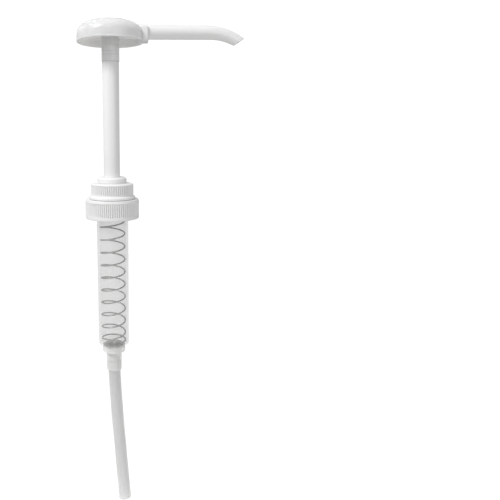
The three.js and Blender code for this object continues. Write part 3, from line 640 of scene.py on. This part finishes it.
def build_ribbed_wall():
    """Presses upright grip grooves into the outer wall of a turned piece."""
    tree = bpy.data.node_groups.new("ribbed wall", "GeometryNodeTree")
    socket(tree, "Geometry", "INPUT", "NodeSocketGeometry")
    for name in ("Count", "Depth", "Radius", "Bottom", "Top", "Fade"):
        socket(tree, name, "INPUT")
    socket(tree, "Material", "INPUT", "NodeSocketMaterial")
    socket(tree, "Geometry", "OUTPUT", "NodeSocketGeometry")
    given = put(tree, "NodeGroupInput").outputs
    here = put(tree, "ShaderNodeSeparateXYZ", {0: put(tree, "GeometryNodeInputPosition").outputs[0]}).outputs
    angle = maths(tree, "ARCTAN2", here["Y"], here["X"])
    wave = maths(tree, "SINE", maths(tree, "MULTIPLY", angle, maths(tree, "DIVIDE", given["Count"], 2.0)))
    valley = maths(tree, "SUBTRACT", 1.0, maths(tree, "ABSOLUTE", wave))
    groove = maths(tree, "MULTIPLY", maths(tree, "POWER", valley, groove_shape), given["Depth"])
    rises = put(tree, "ShaderNodeMapRange", {
        "Value": here["Z"], "From Min": given["Bottom"],
        "From Max": maths(tree, "ADD", given["Bottom"], given["Fade"]),
    }, interpolation_type="SMOOTHSTEP").outputs[0]
    ends = put(tree, "ShaderNodeMapRange", {
        "Value": here["Z"], "From Min": given["Top"],
        "From Max": maths(tree, "SUBTRACT", given["Top"], given["Fade"]),
    }, interpolation_type="SMOOTHSTEP").outputs[0]
    out = maths(tree, "SQRT", maths(tree, "ADD", maths(tree, "MULTIPLY", here["X"], here["X"]),
                                    maths(tree, "MULTIPLY", here["Y"], here["Y"])))
    outer = maths(tree, "GREATER_THAN", out, maths(tree, "MULTIPLY", given["Radius"], outer_share))
    faded = maths(tree, "MULTIPLY", groove, rises)
    push = maths(tree, "MULTIPLY", faded, maths(tree, "MULTIPLY", ends, outer))
    inward = maths(tree, "DIVIDE", maths(tree, "MULTIPLY", push, -1.0), out)
    move = put(tree, "ShaderNodeCombineXYZ", {
        "X": maths(tree, "MULTIPLY", here["X"], inward), "Y": maths(tree, "MULTIPLY", here["Y"], inward),
    })
    moved = put(tree, "GeometryNodeSetPosition", {"Geometry": given["Geometry"], "Offset": move.outputs[0]})
    real = put(tree, "GeometryNodeRealizeInstances", {0: moved.outputs[0]})
    dressed = put(tree, "GeometryNodeSetMaterial", {
        "Geometry": real.outputs[0], "Material": given["Material"],
    })
    put(tree, "NodeGroupOutput", {0: dressed.outputs[0]})
    return tree


def run_tree(piece, tree, sharp=35, **values):
    """Runs a Geometry Nodes tree with its inputs set, and keeps the result as plain mesh."""
    step = piece.modifiers.new("made", "NODES")
    step.node_group = tree
    for item in tree.interface.items_tree:
        if item.item_type == "SOCKET" and item.in_out == "INPUT" and item.name in values:
            step[item.identifier] = values[item.name]
    settle(piece)
    piece.data.shade_smooth()
    piece.data.set_sharp_from_angle(angle=radians(sharp))


def upright(radius, bottom, top, rows):
    """Evenly spaced points up a straight wall, for grooves to bend."""
    return [(radius, bottom + (top - bottom) * k / rows) for k in range(rows + 1)]


ribbed_wall = build_ribbed_wall()
nut_radius = 16.75
nut_ribs = 62
nut_groove = 1.1
nut_bore = 14.3
nut_plate = 1.6
flange_edge, flange_slope = 1.6, 2.8
nut_rib_foot = nut_foot + 3.1
nut_shoulder = nut_top - 0.5
nut_rib_top = nut_shoulder - 0.5
shoulder_step = 0.9
sides_per_rib = 10
nut = turned("nut_moulding", [
    (nut_bore, nut_foot, 0.3),
    (nut_flange_radius, nut_foot, 0.5),
    (nut_flange_radius, nut_foot + flange_edge, 0.5),
    (nut_radius, nut_foot + flange_slope, 0.3),
    *upright(nut_radius, nut_rib_foot, nut_shoulder - 1.6, 14),
    (nut_radius, nut_shoulder - 0.7, 0.4),
    (nut_radius - shoulder_step, nut_shoulder, 0.5),
    (bushing_radius + shoulder_step, nut_top, 0.3),
    (sleeve_radius + fit_gap, nut_top, 0.2),
    (sleeve_radius + fit_gap, nut_top - nut_plate, 0.1),
    (nut_bore, nut_top - nut_plate, 0.4),
], sides=nut_ribs * sides_per_rib)
run_tree(nut, ribbed_wall, sharp=50, Count=nut_ribs, Depth=nut_groove * mm, Radius=nut_radius * mm,
         Bottom=nut_rib_foot * mm, Top=nut_rib_top * mm, Fade=0.8 * mm, Material=ribbed_white)
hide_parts("guide_nut")
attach(nut, "pump_body")

# ---------------------------------------------------------------------------------------------
# Jug cap: the large ribbed screw cap, free to turn between the barrel's flange and the nut. One
# white moulding: grip ribs between plain bands, and a single thread inside for the jug's neck.
# ---------------------------------------------------------------------------------------------


def build_coiled_bar():
    """A round bar wound in a helix, with closed turns at its foot and head where they are above 0."""
    tree = bpy.data.node_groups.new("coiled bar", "GeometryNodeTree")
    names = ("Turns", "Foot turns", "Head turns", "Blend", "Coil radius", "Bar radius", "Bottom", "Top",
             "End pitch", "Start")
    for name in names:
        socket(tree, name, "INPUT")
    socket(tree, "Steps", "INPUT", "NodeSocketInt")
    socket(tree, "Sides", "INPUT", "NodeSocketInt")
    socket(tree, "Material", "INPUT", "NodeSocketMaterial")
    socket(tree, "Geometry", "OUTPUT", "NodeSocketGeometry")
    given = put(tree, "NodeGroupInput").outputs
    line = put(tree, "GeometryNodeCurvePrimitiveLine").outputs[0]
    stepped = put(tree, "GeometryNodeResampleCurve", {"Curve": line, "Count": given["Steps"]}).outputs[0]
    share = put(tree, "GeometryNodeSplineParameter").outputs["Factor"]
    turn = maths(tree, "MULTIPLY", share, given["Turns"])
    angle = maths(tree, "ADD", maths(tree, "MULTIPLY", turn, 2 * pi), given["Start"])
    end_turns = maths(tree, "ADD", given["Foot turns"], given["Head turns"])
    open_turns = maths(tree, "SUBTRACT", given["Turns"], end_turns)
    ramp = maths(tree, "DIVIDE", maths(tree, "SUBTRACT", turn, given["Foot turns"]), open_turns)
    ease = maths(tree, "DIVIDE", given["Blend"], open_turns)
    ramp = maths(tree, "SMOOTH_MAX", maths(tree, "SMOOTH_MIN", ramp, 1.0, ease), 0.0, ease)
    closed = maths(tree, "MULTIPLY", given["Turns"], given["End pitch"])
    rise = maths(tree, "SUBTRACT", maths(tree, "SUBTRACT", given["Top"], given["Bottom"]), closed)
    climb = maths(tree, "ADD", given["Bottom"], maths(tree, "MULTIPLY", turn, given["End pitch"]))
    z = maths(tree, "ADD", climb, maths(tree, "MULTIPLY", rise, ramp))
    spot = put(tree, "ShaderNodeCombineXYZ", {
        "X": maths(tree, "MULTIPLY", maths(tree, "COSINE", angle), given["Coil radius"]),
        "Y": maths(tree, "MULTIPLY", maths(tree, "SINE", angle), given["Coil radius"]), "Z": z,
    })
    coil = put(tree, "GeometryNodeSetPosition", {"Geometry": stepped, "Position": spot.outputs[0]}).outputs[0]
    section = put(tree, "GeometryNodeCurvePrimitiveCircle", {
        "Resolution": given["Sides"], "Radius": given["Bar radius"],
    }).outputs[0]
    bar = put(tree, "GeometryNodeCurveToMesh", {"Curve": coil, "Profile Curve": section, "Fill Caps": True})
    real = put(tree, "GeometryNodeRealizeInstances", {0: bar.outputs[0]})
    dressed = put(tree, "GeometryNodeSetMaterial", {
        "Geometry": real.outputs[0], "Material": given["Material"],
    })
    put(tree, "NodeGroupOutput", {0: dressed.outputs[0]})
    return tree


def empty_piece(name):
    """An object with no mesh yet, for a tree that makes its own."""
    piece = bpy.data.objects.new(name, bpy.data.meshes.new(name))
    scene.collection.objects.link(piece)
    return piece


cap_foot, cap_plate_top, jug_cap_radius = extent("jug_cap")
cap_ribs = 80
cap_groove = 1.15
cap_rib_foot = cap_foot + 2.4
cap_rib_top = cap_plate_top - 1.9
cap_plate = 1.7
cap_band_step = 0.35
thread_root = 18.9
cap_hole = 14.4
jug_cap = turned("jug_cap_moulding", [
    (thread_root, cap_foot, 0.3),
    (jug_cap_radius, cap_foot, 1.1),
    *upright(jug_cap_radius, cap_foot + 1.6, cap_rib_top + 0.1, 16),
    (jug_cap_radius, cap_rib_top + 0.5, 0.1),
    (jug_cap_radius - cap_band_step, cap_rib_top + 0.8, 0.1),
    (jug_cap_radius - cap_band_step, cap_plate_top, 0.8),
    (cap_hole, cap_plate_top, 0.3),
    (cap_hole, cap_plate_top - cap_plate, 0.2),
    (thread_root, cap_plate_top - cap_plate, 0.5),
], sides=cap_ribs * sides_per_rib)
run_tree(jug_cap, ribbed_wall, sharp=50, Count=cap_ribs, Depth=cap_groove * mm, Radius=jug_cap_radius * mm,
         Bottom=cap_rib_foot * mm, Top=(cap_rib_top + 0.2) * mm, Fade=0.7 * mm, Material=ribbed_white)
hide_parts("jug_cap")
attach(jug_cap, "screw_cap")

coiled_bar = build_coiled_bar()
thread_turns = 1.25
thread_pitch = 4.23
thread_bar = 1.15
thread_foot = cap_foot + thread_pitch / 2
thread = empty_piece("cap_thread")
values = {
    "Turns": thread_turns, "Foot turns": 0.0, "Head turns": 0.0, "Blend": 0.001,
    "Coil radius": thread_root * mm, "Bar radius": thread_bar * mm, "Bottom": thread_foot * mm,
    "Top": (thread_foot + thread_turns * thread_pitch) * mm, "End pitch": 0.0, "Start": 0.0,
    "Steps": 120, "Sides": 14, "Material": ribbed_white,
}
run_tree(thread, coiled_bar, **values)
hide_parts("jug_cap")
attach(thread, "screw_cap")

# ---------------------------------------------------------------------------------------------
# Barrel: the clear cylinder that hangs in the jug, with its flange and neck hidden under the cap.
# Natural polypropylene, slightly grey and cloudy, so that the spring shows through it.
# ---------------------------------------------------------------------------------------------

barrel_foot, barrel_top, barrel_flange = extent("pump_barrel")
barrel_bore = 10.8
barrel_wall = 1.75
barrel_radius = barrel_bore + barrel_wall
floor_thickness = 1.8
barrel_floor = barrel_foot + floor_thickness
barrel_chamfer = 2.2
flange_foot, flange_top = 1.3, 3.1
barrel_neck = 14.2
chamber_radius = 4.7
barrel = turned("barrel_tube", [
    (chamber_radius, barrel_foot, 0.2),
    (barrel_radius - barrel_chamfer, barrel_foot, 0.8),
    (barrel_radius, barrel_foot + barrel_chamfer, 0.8),
    (barrel_radius, flange_foot, 0.3),
    (barrel_flange, flange_foot, 0.2),
    (barrel_flange, flange_top, 0.2),
    (barrel_neck, flange_top, 0.3),
    (barrel_neck, barrel_top, 0.3),
    (barrel_bore, barrel_top, 0.3),
    (barrel_bore, barrel_floor, 0.8),
    (chamber_radius, barrel_floor, 0.2),
], sides=128)
# Two copies of the one plastic. The grey cloudiness is the plastic's own colour, but the outside's darker,
# denser copy and the bore's paler, clearer copy differ only to paint shade at the tube's edges.
clear = moulded("clear polypropylene", (0.62, 0.62, 0.61), (0.57, 0.57, 0.56), 0.12, grain=260.0,
                marks=0.3, relief=0.03, Alpha=0.27)
clear_painted_pale = moulded("clear polypropylene, pale painted-light copy", (0.8, 0.8, 0.79), (0.76, 0.76, 0.75), 0.2, grain=260.0,
                     marks=0.1, relief=0.03, Alpha=0.1)
cloudy = moulded("cloudy polypropylene", (0.93, 0.93, 0.92), (0.88, 0.88, 0.87), 0.16, grain=260.0,
                 marks=0.3, relief=0.03, Alpha=0.58)
barrel.data.materials.append(clear)
barrel.data.materials.append(clear_painted_pale)
# The bore's faces take a paler, clearer copy of the plastic, and the outside faces take a darker, denser one.
# This is painted shade: the tube's edges, where a ray meets only outside faces, read darker, and one wall
# behind another stays pale.
bore_limit = barrel_bore + 0.4
for face in barrel.data.polygons:
    face.material_index = int(face.center.xy.length < bore_limit * mm)
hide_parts("pump_barrel")
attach(barrel, "pump_body")

# ---------------------------------------------------------------------------------------------
# Return spring: a long compression spring of drawn stainless wire, closed for a turn at its head
# and half a turn at its foot. It stands on the ball cage and carries the follower under the piston.
# ---------------------------------------------------------------------------------------------

spring_foot, spring_top, _ = extent("return_spring")
spring_wire = 1.1
spring_swell = 0.04  # on the bar's radius, so that the wire reads at this size
spring_side_gap = 0.65
foot_turns, head_turns = 0.5, 1.1
open_turns = 10
spring_turns = open_turns + foot_turns + head_turns
end_spacing = 1.15
spring_coil = barrel_bore - spring_side_gap - spring_wire / 2
steel = bpy.data.materials.new("drawn stainless wire")
steel.use_nodes = True
tree = steel.node_tree
tree.nodes.clear()
place = put(tree, "ShaderNodeTexCoord").outputs["Object"]
lines = put(tree, "ShaderNodeTexNoise", {"Vector": place, "Scale": 2200.0, "Detail": 4.0}).outputs[0]
blotch = put(tree, "ShaderNodeTexNoise", {"Vector": place, "Scale": 130.0, "Detail": 2.0}).outputs[0]
tone = put(tree, "ShaderNodeMix", {
    0: blotch, 6: (0.36, 0.36, 0.35, 1), 7: (0.5, 0.5, 0.49, 1),
}, data_type="RGBA")
rough = put(tree, "ShaderNodeMapRange", {"Value": lines, "To Min": 0.22, "To Max": 0.42}).outputs[0]
bump = put(tree, "ShaderNodeBump", {"Strength": 0.3, "Distance": 0.01 * mm, "Height": lines})
shader = put(tree, "ShaderNodeBsdfPrincipled", {
    "Base Color": tone.outputs[2], "Metallic": 1.0, "Roughness": rough, "Normal": bump.outputs[0],
})
put(tree, "ShaderNodeOutputMaterial", {"Surface": shader.outputs[0]})
spring = empty_piece("spring_coil")
values = {
    "Turns": spring_turns, "Foot turns": foot_turns, "Head turns": head_turns, "Blend": 0.5,
    "Coil radius": spring_coil * mm,
    "Bar radius": (spring_wire / 2 + spring_swell) * mm, "Bottom": (spring_foot + spring_wire / 2) * mm,
    "Top": (spring_top - spring_wire / 2) * mm, "End pitch": spring_wire * end_spacing * mm,
    "Start": pi - 2 * pi * spring_turns, "Steps": 640, "Sides": 14, "Material": steel,
}
run_tree(spring, coiled_bar, **values)
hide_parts("return_spring")
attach(spring, "pump_body")
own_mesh(spring)

# ---------------------------------------------------------------------------------------------
# Inlet housing: the skirt ring, ball seat and tube socket under the barrel, in the same natural
# polypropylene. The inlet ball sits in it and the dip tube is pushed up into its mouth.
# ---------------------------------------------------------------------------------------------

mouth, housing_top, housing_flange = extent("inlet_housing")
socket_radius = 5.35
neck_wall, skirt_wall = 0.95, 0.9
skirt_depth, housing_plate = 5.2, 1.5
tube_hold, seat_thickness = 7, 1.6
seat_bore = 2.7
neck_radius = socket_radius + neck_wall
skirt_foot = housing_top - skirt_depth
skirt_inner = housing_flange - skirt_wall
socket_top = mouth + tube_hold
seat_top = socket_top + seat_thickness
housing = turned("inlet_housing_moulding", [
    (seat_bore, socket_top),
    (socket_radius, socket_top, 0.2),
    (socket_radius, mouth, 0.2),
    (neck_radius, mouth, 0.3),
    (neck_radius, housing_top - housing_plate, 0.3),
    (skirt_inner, housing_top - housing_plate, 0.3),
    (skirt_inner, skirt_foot, 0.25),
    (housing_flange, skirt_foot, 0.25),
    (housing_flange, housing_top, 0.3),
    (chamber_radius, housing_top, 0.2),
    (chamber_radius, seat_top, 0.3),
    (seat_bore, seat_top, 0.2),
], sides=96)
housing.data.materials.append(cloudy)
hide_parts("inlet_housing")
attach(housing, "pump_body")

# ---------------------------------------------------------------------------------------------
# Dip tube: soft milky polyethylene tube, cut square from a coil, so it keeps a gentle swing. It
# is pushed into the housing's socket and reaches down towards the bottom of the jug.
# ---------------------------------------------------------------------------------------------

tube_radius = 5.1
tube_wall = 1.1
tube_bore = tube_radius - tube_wall
tube_top = socket_top - fit_gap
tube_drop = 119.4
side_swing, front_swing = 8.7, 10
route = [
    Vector((0, 0, tube_top)),
    Vector((0, 0, mouth - 0.16 * tube_drop)),
    Vector((side_swing / 2, -3.33, mouth - 0.58 * tube_drop)),
    Vector((side_swing, -front_swing, mouth - tube_drop)),
]


def tube_station(share):
    """Centre and direction of the tube at a share of its route."""
    first = [a.lerp(b, share) for a, b in zip(route, route[1:])]
    second = [a.lerp(b, share) for a, b in zip(first, first[1:])]
    return second[0].lerp(second[1], share), (second[1] - second[0]).normalized()


def tube_ring(share, radius, count=56):
    """A ring square to the tube."""
    centre, along = tube_station(share)
    side = Vector((1, 0, 0))
    side = (side - along * side.dot(along)).normalized()
    other = along.cross(side)
    angles = [2 * pi * j / count for j in range(count)]
    return [centre + side * cos(a) * radius + other * sin(a) * radius for a in angles]


tube_steps = 70
rings = [tube_ring(k / tube_steps, tube_radius) for k in range(tube_steps + 1)]
rings += [tube_ring(k / tube_steps, tube_bore) for k in range(tube_steps, -1, -1)]
tube = swept("dip_tube_hose", rings, closed=True)
milky = moulded("milky polyethylene", (0.82, 0.82, 0.82), (0.79, 0.79, 0.785), 0.42, grain=300.0, marks=0.8,
                Subsurface_Weight=0.8, Subsurface_Radius=(1.0, 1.0, 1.0), Subsurface_Scale=0.006, Alpha=0.7)
tube.data.materials.append(milky)
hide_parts("dip_tube")
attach(tube, "pump_body")

# ---------------------------------------------------------------------------------------------
# Inlet valve: a slotted clear cage pressed into the barrel's floor, and the ball under it, which
# lifts as the plunger rises and lets sauce into the barrel.
# ---------------------------------------------------------------------------------------------

acetal = moulded("acetal", (0.8, 0.8, 0.78), (0.76, 0.76, 0.735), 0.28, grain=900.0, marks=0.7)
cage_foot, cage_top, _ = extent("ball_cage")
cage_flange = 1.3
cage_wall = 1.2
cage_flange_foot = cage_top - cage_flange
cage_bore = chamber_radius - fit_gap - cage_wall
cage = turned("inlet_ball_cage", [
    (cage_bore, cage_foot, 0.2),
    (chamber_radius - fit_gap, cage_foot, 0.2),
    (chamber_radius - fit_gap, cage_flange_foot, 0.1),
    (barrel_bore - 0.2, cage_flange_foot, 0.3),
    (barrel_bore - 0.2, cage_top, 0.3),
    (cage_bore, cage_top, 0.3),
], sides=72)
slot_reach, slot_half = 6, 1
slot_top = cage_flange_foot - cage_flange
for x, y in ((slot_reach, slot_half), (slot_half, slot_reach)):
    carve(cage, boxed("slot", (-x, -y, cage_foot - overcut), (x, y, slot_top)))
cage.data.materials.clear()
# The cage wears the paler copy of the clear plastic, whose lighter tone is painted light.
cage.data.materials.append(clear_painted_pale)
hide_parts("ball_cage")
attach(cage, "pump_body")


def valve_ball(name, node):
    """A check ball, turned from a half circle."""
    low, high, _ = extent(node)
    radius = (high - low) / 2
    steps = 28
    arc = [(radius * sin(pi * k / steps), low + radius * (1 - cos(pi * k / steps))) for k in range(steps + 1)]
    arc[0], arc[-1] = (0, low), (0, high)
    return turned(name, arc, sides=56)


for name, node, body in (("inlet_valve_ball", "inlet_ball", "inlet_check"),
                         ("outlet_valve_ball", "outlet_ball", "outlet_check")):
    ball = valve_ball(name, node)
    ball.data.materials.append(acetal)
    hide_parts(node)
    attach(ball, body)

# ---------------------------------------------------------------------------------------------
# Piston, its cup seal and the spring follower: what travels down the barrel under the stem. The
# piston and follower are acetal; the seal is soft food-grade rubber in the piston's groove.
# ---------------------------------------------------------------------------------------------

piston_face, piston_top, piston_radius = extent("piston")
piston_bore = 5.0
groove_depth = 2.1
piston_waist = barrel_bore - groove_depth
socket_wall = 1.85
socket_outer = stem_radius + fit_gap + socket_wall
socket_floor = piston_face + 4.3
disc = 0.7
seal_room = 5.2
seal_top = piston_face + disc + seal_room
piston = turned("piston_body", [
    (piston_bore, piston_face, 0.2),
    (piston_radius, piston_face, 0.2),
    (piston_radius, piston_face + disc, 0.15),
    (piston_waist, piston_face + disc, 0.2),
    (piston_waist, seal_top, 0.2),
    (piston_radius, seal_top, 0.15),
    (piston_radius, seal_top + disc, 0.2),
    (socket_outer, seal_top + disc, 0.4),
    (socket_outer, piston_top, 0.3),
    (stem_radius + fit_gap, piston_top, 0.2),
    (stem_radius + fit_gap, socket_floor, 0.1),
    (piston_bore, socket_floor, 0.1),
], sides=112)
piston.data.materials.append(acetal)
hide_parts("piston")
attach(piston, "plunger")

rubber = moulded("food-grade rubber", (0.66, 0.66, 0.64), (0.6, 0.6, 0.575), 0.55, grain=1100.0, marks=0.2)
seal_inner = piston_waist + fit_gap
seal_outer = barrel_bore - fit_gap
seal_foot = piston_face + disc + fit_gap
lip_depth, seal_height = 4, 5
seal = turned("piston_cup_seal", [
    (seal_inner, seal_foot),
    ((seal_inner + seal_outer) / 2, seal_foot + lip_depth, 0.2),
    (seal_outer, seal_foot, 0.1),
    (seal_outer, seal_foot + lip_depth, 0.3),
    (seal_outer - 0.5, seal_foot + seal_height, 0.3),
    (seal_inner, seal_foot + seal_height, 0.1),
], sides=112)
seal.data.materials.append(rubber)
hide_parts("piston_seal")
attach(seal, "plunger")

follower_foot, follower_top, follower_radius = extent("spring_follower")
follower_lip = spring_coil - spring_wire / 2 - run_gap
follower_wall = 1.4
follower_height = 1.5
follower = turned("spring_follower_ring", [
    (follower_lip - follower_wall, follower_foot, 0.2),
    (follower_lip, follower_foot, 0.4),
    (follower_lip, follower_top - follower_height, 0.1),
    (follower_radius, follower_top - follower_height, 0.2),
    (follower_radius, follower_top, 0.2),
    (follower_lip - follower_wall, follower_top, 0.2),
], sides=112)
follower.data.materials.append(acetal)
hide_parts("spring_follower")
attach(follower, "spring_carrier")

# ---------------------------------------------------------------------------------------------
# Plain rings: the flat gaskets, the stem's wiper and up stop, the hub's seal and the outlet seat.
# Gaskets are stamped or moulded rubber and the hard rings are acetal.
# ---------------------------------------------------------------------------------------------

# Piece, node, inner and outer radius, body, look and finish.
rings_made = (
    ("jug_rim_gasket", "jug_gasket", barrel_radius + fit_gap, 17.4, "pump_body", rubber, "seal_rubber"),
    ("neck_gasket", "barrel_gasket", barrel_bore, barrel_neck, "pump_body", rubber, "seal_rubber"),
    ("stem_wiper_ring", "stem_wiper", stem_radius + run_gap, 9.8, "pump_body", rubber, "seal_rubber"),
    ("up_stop_washer", "up_stop", stem_radius + fit_gap, 9.5, "plunger", acetal, "white_acetal"),
    ("hub_seal_ring", "hub_seal", stem_bore, spigot_radius, "plunger", rubber, "seal_rubber"),
    ("outlet_valve_seat", "outlet_seat", 2.3, 4.9, "plunger", acetal, "white_acetal"),
)
for name, node, inner, outer, body, look, finish in rings_made:
    low, high, _ = extent(node)
    edge = 0.2 * (high - low)
    corners = ((inner, low), (outer, low), (outer, high), (inner, high))
    ring = turned(name, [(radius, height, edge) for radius, height in corners], 96)
    ring.data.materials.append(look)
    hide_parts(node)
    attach(ring, body)

# ---------------------------------------------------------------------------------------------
# Ball stop: a small acetal ring with a bar across it, pressed into the stem above the outlet ball.
# The bar limits how far the ball lifts.
# ---------------------------------------------------------------------------------------------

stop_foot, stop_top, _ = extent("ball_stop")
stop_radius = stem_bore - fit_gap
stop_wall = 0.75
bar_half = 0.75
stop = turned("outlet_ball_stop", [
    (stop_radius - stop_wall, stop_foot, 0.15),
    (stop_radius, stop_foot, 0.15),
    (stop_radius, stop_top, 0.15),
    (stop_radius - stop_wall, stop_top, 0.15),
], sides=64)
bar_reach = stop_radius - 0.4
bar = boxed("bar", (-bar_reach, -bar_half, stop_foot + 0.01), (bar_reach, bar_half, stop_top - 0.01))
carve(stop, bar, "UNION")
stop.data.materials.clear()
stop.data.materials.append(acetal)
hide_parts("ball_stop")
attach(stop, "plunger")
